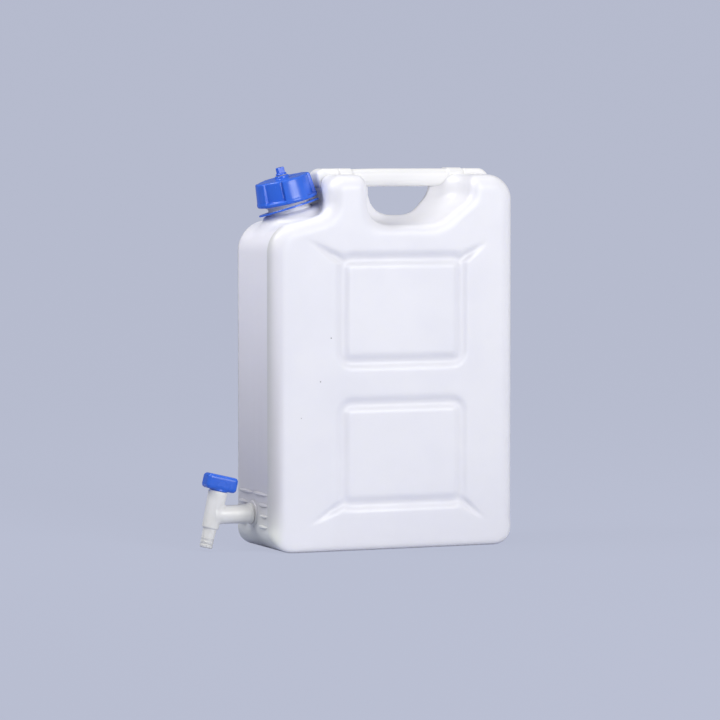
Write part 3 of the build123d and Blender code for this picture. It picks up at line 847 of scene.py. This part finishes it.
def tapDistance(points):
    pipeAway, out, along, _, barrelAway = tapAxes(points)
    edge, boreEdge = tap["edge"], tap["boreEdge"]
    shrink = np.clip((out - tap["flangeEnd"]) / (tap["rootEnd"] - tap["flangeEnd"]), 0, 1)
    root = tap["rootRadius"] + (tap["pipeRadius"] - tap["rootRadius"]) * shrink
    shape = puck(pipeAway, out, root, tap["seat"] + 1, tap["reach"], 0.6)
    low, high = tap["barrel"]
    share = np.clip((along - low) / (high - 2 - low), 0, 1)
    radius = tap["barrelRadii"][0] + (tap["barrelRadii"][1] - tap["barrelRadii"][0]) * share
    shape = smoothMin(shape, puck(barrelAway, along, radius, low, high, edge), 3.0)
    flange = puck(pipeAway, out, tap["flangeRadius"], tap["seat"], tap["flangeEnd"], edge)
    shape = smoothMin(shape, flange, 1.2)
    nipple = puck(
        pipeAway, out, tap["nippleRadius"], -tap["nippleLength"], tap["seat"] + 1, tap["spoutEdge"])
    shape = np.minimum(shape, nipple)
    share = np.clip((along - tap["spoutTip"]) / (low - tap["spoutTip"]), 0, 1)
    radius = tap["spoutRadii"][0] + (tap["spoutRadii"][1] - tap["spoutRadii"][0]) * share
    spout = puck(barrelAway, along, radius, tap["spoutTip"], low + 2, tap["spoutEdge"])
    shape = smoothMin(shape, spout, 1.5)
    cavity = puck(barrelAway, along, tap["cavityRadius"], tap["cavityFloor"], high + cutPast, boreEdge)
    spoutBore = puck(barrelAway, along, tap["spoutBore"], tap["spoutTip"] - cutPast, 0, boreEdge)
    inner = -tap["nippleLength"] - cutPast
    pipeBore = puck(pipeAway, out, tap["pipeBore"], inner, tap["reach"], boreEdge)
    return np.maximum(shape, -np.minimum(np.minimum(cavity, spoutBore), pipeBore))


def plugDistance(points):
    pipeAway, out, along, across, barrelAway = tapAxes(points)
    length, width, height = tap["grip"]
    middle = tap["gripStart"] + height / 2
    offsets = (across, points[:, 1], along - middle)
    grip = block(offsets, (length / 2, width / 2, height / 2), tap["gripRound"])
    low, high = tap["collar"]
    shape = smoothMin(grip, puck(barrelAway, along, tap["collarRadius"], low, high, 0.6), 1.0)
    shape = np.minimum(shape, puck(barrelAway, along, tap["plugRadius"], tap["cavityFloor"], high, 0.4))
    floor, boreEdge = tap["cavityFloor"] - cutPast, tap["boreEdge"]
    well = puck(barrelAway, along, tap["wellRadius"], floor, tap["pipeBore"], boreEdge)
    port = puck(pipeAway, out, tap["wellRadius"], 0, tap["reach"], boreEdge)
    return np.maximum(shape, -np.minimum(well, port))


def makeTap(cream, blue):
    face = -body["length"] / 2
    cell, centre = tap["cell"], face - tap["reach"]
    lines = [
        spread(centre - 32.3, face + tap["nippleLength"] + 3, cell),
        spread(-17.2, 17, cell),
        spread(-0.4 + boss["height"] - 50, boss["height"] + 37, cell),
    ]
    points, quads = surfaceNet(tapDistance, lines)
    shell = meshPiece("tapShell", points, quads, cream)
    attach(shell, "canister")
    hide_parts("tap_body")
    lines = [
        spread(centre - 25.3, centre + 40, cell),
        spread(-15.2, 15, cell),
        spread(boss["height"] - 18.4, boss["height"] + 66, cell),
    ]
    points, quads = surfaceNet(plugDistance, lines)
    lever = meshPiece("tapLever", points, quads, blue)
    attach(lever, "plug")
    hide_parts("tap_plug")
    recipe = Recipe("spoutBarbs", {
        "count": tap["barbs"], "first": (tap["spoutTip"] + tap["barbPitch"] / 2 - 0.4) * mm,
        "pitch": tap["barbPitch"] * mm, "crest": (tap["spoutRadii"][0] + tap["barbProud"]) * mm,
        "neck": tap["spoutRadii"][0] * mm, "length": (tap["barbPitch"] - 0.9) * mm,
        "bore": (tap["spoutBore"] + 0.6) * mm,
    })
    start = recipe.node("ShaderNodeCombineXYZ", None, {2: recipe.size("first")})
    step = recipe.node("ShaderNodeCombineXYZ", None, {2: recipe.size("pitch")})
    row = recipe.node("GeometryNodeMeshLine", None, {
        "Count": recipe.size("count"), "Start Location": start, "Offset": step})
    height = recipe.size("length")
    path = recipe.node("GeometryNodeCurvePrimitiveCircle", None, {
        "Resolution": 48, "Radius": (recipe.size("crest") + recipe.size("bore")) * 0.5})
    wide = recipe.size("crest") - recipe.size("bore")
    section = recipe.node("GeometryNodeCurvePrimitiveQuadrilateral", {"mode": "TRAPEZOID"}, {
        "Height": wide, "Bottom Width": height, "Top Width": height * 0.25, "Offset": height * 0.2})
    ring = recipe.node("GeometryNodeCurveToMesh", None, {"Curve": path, "Profile Curve": section})
    barbs = recipe.node("GeometryNodeInstanceOnPoints", None, {"Points": row, "Instance": ring})
    placed = recipe.node("GeometryNodeTransform", None, {
        "Geometry": barbs, "Rotation": (0, math.radians(tap["tilt"]), 0),
        "Translation": (centre * mm, 0, (boss["height"] + tap["rise"]) * mm)})
    ridges = recipe.grow("spoutBarbs", placed, cream)
    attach(ridges, "canister")
    print("tap")


finish = {
    "hdpe": (0.845, 0.84, 0.868, 1),
    "hdpeCloud": (0.815, 0.812, 0.85, 1),
    # painted light and shade on the narrow face: lighter at the top and darker low down, as light falls
    # from above
    "sideTopPaintedLight": (0.90, 0.885, 0.94, 1),
    "sideLowPaintedShade": (0.60, 0.585, 0.61, 1),
    # painted light at the foot of the narrow face, faintly greenish
    "sideFootPaintedLight": (0.84, 0.85, 0.79, 1),
    # painted shade in the crease where the narrow face meets the edge round
    "band": (0.60, 0.60, 0.585, 1),
    "bandStart": 0.053,
    "speck": (0.10, 0.09, 0.09, 1),
    "specks": (((-93.2, 286.6), 1.0), ((-108.6, 228.6), 1.0), ((-59.9, 60.9), 1.8), ((-136.1, 180.5), 0.7)),
    "hdpeRoughness": 0.34,
    "blue": (0.026, 0.132, 0.68, 1),
    "blueRoughness": 0.22,
    "white": (0.81, 0.805, 0.785, 1),
    "whiteCloud": (0.78, 0.775, 0.74, 1),
    "foam": (0.42, 0.43, 0.45, 1),
    "rubber": (0.03, 0.03, 0.032, 1),
    "tapSeal": (0.72, 0.71, 0.68, 1),
}


def naturalPlastic(name, tint=None):
    # Blown natural HDPE: cloudy, faintly lavender, with a waxy skin, and painted light and shade on its
    # narrow face and edge crease
    skin = Surface(name)
    x, y, z = skin.axes()
    cloud = skin.noise(9.0, 3)
    colour = skin.mix(skin.ramp(cloud, 0.35, 0.65), finish["hdpe"], finish["hdpeCloud"])
    if tint:
        colour = skin.mix(0.75, colour, tint)
    streaks = skin.noise(40.0, 2, stretch=(1, 1, 0.08))
    side = skin.ramp(x, -0.158, -0.174)
    # painted shade on the narrow face: darker low down, lighter at the top where light falls from above;
    # the real vertical streaks ruffle the edge of the ramp
    paintedSideLightAndShade = skin.mix(skin.ramp(z + (streaks - 0.5) * 0.05, 0.02, 0.42), finish["sideLowPaintedShade"], finish["sideTopPaintedLight"])
    # painted light lifting the foot of the narrow face out of its shade, faintly greenish
    paintedSideLightAndShade = skin.mix(skin.ramp(z, 0.075, 0.015), paintedSideLightAndShade, finish["sideFootPaintedLight"])
    colour = skin.mix(side, colour, paintedSideLightAndShade)
    # a painted dark band of shade along the crease where the narrow face meets the edge round
    deep = skin.node("ShaderNodeMath", {"operation": "ABSOLUTE"}, {0: y})
    start = finish["bandStart"]
    band = skin.ramp(deep, start, start + 0.0008) * skin.ramp(deep, start + 0.022, start + 0.002)
    band = band * skin.ramp(x, -0.150, -0.166) * skin.ramp(z, 0.02, 0.06)
    colour = skin.mix(band * 0.8, colour, finish["band"])
    for (speckX, speckZ), size in finish["specks"]:
        away = skin.node("ShaderNodeVectorMath", {"operation": "DISTANCE"}, {
            0: skin.place(), 1: (speckX * mm, -body["depth"] / 2 * mm, speckZ * mm)}, 1)
        colour = skin.mix(skin.ramp(away, size * mm * 1.3, size * mm * 0.6) * 0.8, colour, finish["speck"])
    grain = skin.noise(900.0, 2)
    height = skin.noise(22.0, 2) * 0.6 + grain * 0.05
    rough = skin.ramp(cloud, 0.3, 0.7, finish["hdpeRoughness"] - 0.03, finish["hdpeRoughness"] + 0.05)
    return skin.close(
        Base_Color=colour, Roughness=rough, Normal=skin.bump(height, 0.0006, 0.5),
        Subsurface_Weight=0.4, Subsurface_Radius=(0.008, 0.008, 0.009), Subsurface_Scale=1.0, IOR=1.5,
    )


def bluePlastic(name, roughness):
    skin = Surface(name)
    grain = skin.noise(600.0, 3)
    cloud = skin.noise(40.0, 2)
    rough = skin.ramp(cloud, 0.3, 0.7, roughness - 0.04, roughness + 0.06)
    return skin.close(
        Base_Color=finish["blue"], Roughness=rough, Normal=skin.bump(grain, 0.0001, 0.4), IOR=1.5)


def creamPlastic():
    skin = Surface("creamPlastic")
    grain = skin.noise(500.0, 2)
    cloud = skin.noise(30.0, 2)
    colour = skin.mix(skin.ramp(cloud, 0.3, 0.7), finish["white"], finish["whiteCloud"])
    rough = skin.ramp(cloud, 0.3, 0.7, 0.28, 0.38)
    return skin.close(
        Base_Color=colour, Roughness=rough, Normal=skin.bump(grain, 0.0001, 0.4),
        Subsurface_Weight=0.4, Subsurface_Radius=(0.006, 0.006, 0.006), Subsurface_Scale=1.0, IOR=1.5)


def rubber(name, colour):
    skin = Surface(name)
    grain = skin.noise(800.0, 3)
    darker = tuple(0.85 * part for part in colour[:3]) + (1,)
    shade = skin.mix(skin.ramp(grain, 0.3, 0.7), colour, darker)
    return skin.close(Base_Color=shade, Roughness=0.7, Normal=skin.bump(grain, 0.0001, 0.5))


studio = {
    "floorHalf": 6.0,
    "floorNear": -7.0,
    "wallStart": 2.6,
    "wallRound": 1.6,
    "wallHeight": 6.0,
    "paper": (0.485, 0.515, 0.638, 1),
    "flatShare": 0.93,  # how much of the paper's own colour the camera sees
    "world": (0.96, 0.96, 1.0, 1),
    "worldStrength": 0.46,
    "lamps": {
        "keyLight": ((0.6, -2.85, 1.15), (-0.03, 0, 0.3), (1.6, 1.6), 55),
        "topLight": ((-0.9, -0.2, 2.3), (-0.1, 0, 0.4), (1.2, 1.2), 5),
        "shoulderLight": ((-0.95, 0.15, 1.4), (-0.15, 0, 0.45), (0.5, 0.5), 10),
    },
}


def stageFinish():
    # Pale paper, flat to the camera, that still takes the shadow
    paper = Surface("paperSweep")
    shade = paper.noise(1.5, 2)
    darker = tuple(0.98 * part for part in studio["paper"])
    colour = paper.mix(paper.ramp(shade, 0.3, 0.7), studio["paper"], darker)
    matt = paper.node("ShaderNodeBsdfDiffuse", None, {"Color": colour, "Roughness": 0.9})
    glow = paper.node("ShaderNodeEmission", None, {"Color": studio["paper"], "Strength": 1.0})
    seen = paper.node("ShaderNodeLightPath")
    both = paper.node("ShaderNodeMixShader", None, {0: seen * studio["flatShare"], 1: matt, 2: glow})
    paper.node("ShaderNodeOutputMaterial", None, {"Surface": both})
    return paper.material


def makeStudio():
    # A seamless sweep: floor, a round and a wall
    profile = [(studio["floorNear"], 0.0), (studio["wallStart"], 0.0)]
    for step in range(1, 17):
        angle = math.pi / 2 * step / 16
        reach = studio["wallRound"]
        profile.append((studio["wallStart"] + reach * math.sin(angle), reach * (1 - math.cos(angle))))
    profile.append((studio["wallStart"] + studio["wallRound"], studio["wallHeight"]))
    half = studio["floorHalf"]
    points = [(side * half / mm, y / mm, z / mm) for y, z in profile for side in (-1, 1)]
    faces = [(2 * i, 2 * i + 1, 2 * i + 3, 2 * i + 2) for i in range(len(profile) - 1)]
    sweep = meshPiece("sweep", points, faces, stageFinish())


def makeLights():
    for name, (place, aim, size, power) in studio["lamps"].items():
        lamp = bpy.data.lights.new(name, "AREA")
        lamp.shape = "RECTANGLE"
        lamp.size, lamp.size_y = size
        lamp.energy = power
        light = bpy.data.objects.new(name, lamp)
        bpy.context.collection.objects.link(light)
        light.location = place
        light.rotation_euler = (Vector(aim) - Vector(place)).to_track_quat("-Z", "Y").to_euler()
    world = bpy.data.worlds.new("studio")
    bpy.context.scene.world = world
    world.use_nodes = True
    world.node_tree.nodes["Background"].inputs[0].default_value = studio["world"]
    world.node_tree.nodes["Background"].inputs[1].default_value = studio["worldStrength"]


bpy.context.scene.view_settings.view_transform = "Standard"
makeCamera()
makeStudio()
makeLights()
print("camera, sweep and lights")
hdpe = naturalPlastic("naturalPlastic")
paleHdpe = naturalPlastic("palePlastic", finish["white"])
capBlue = bluePlastic("capBlue", finish["blueRoughness"])
cream = creamPlastic()
skin = makeCanisterSkin(hdpe)
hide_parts("canister")
makeHandle(paleHdpe)
makeNeck(hdpe)
makeBoss(paleHdpe)
makeCap(capBlue)
makeTap(cream, capBlue)
nodeFinish = {
    "retaining_ring": capBlue,
    "vent_screw": capBlue,
    "cap_gasket": rubber("sealFoam", finish["foam"]),
    "vent_washer": rubber("ventFoam", finish["foam"]),
    "plug_o_rings": rubber("ringRubber", finish["rubber"]),
    "tap_gasket": rubber("tapRubber", finish["tapSeal"]),
}
for name, material in nodeFinish.items():
    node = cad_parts[name]
    node.data.materials.clear()
    node.data.materials.append(material)
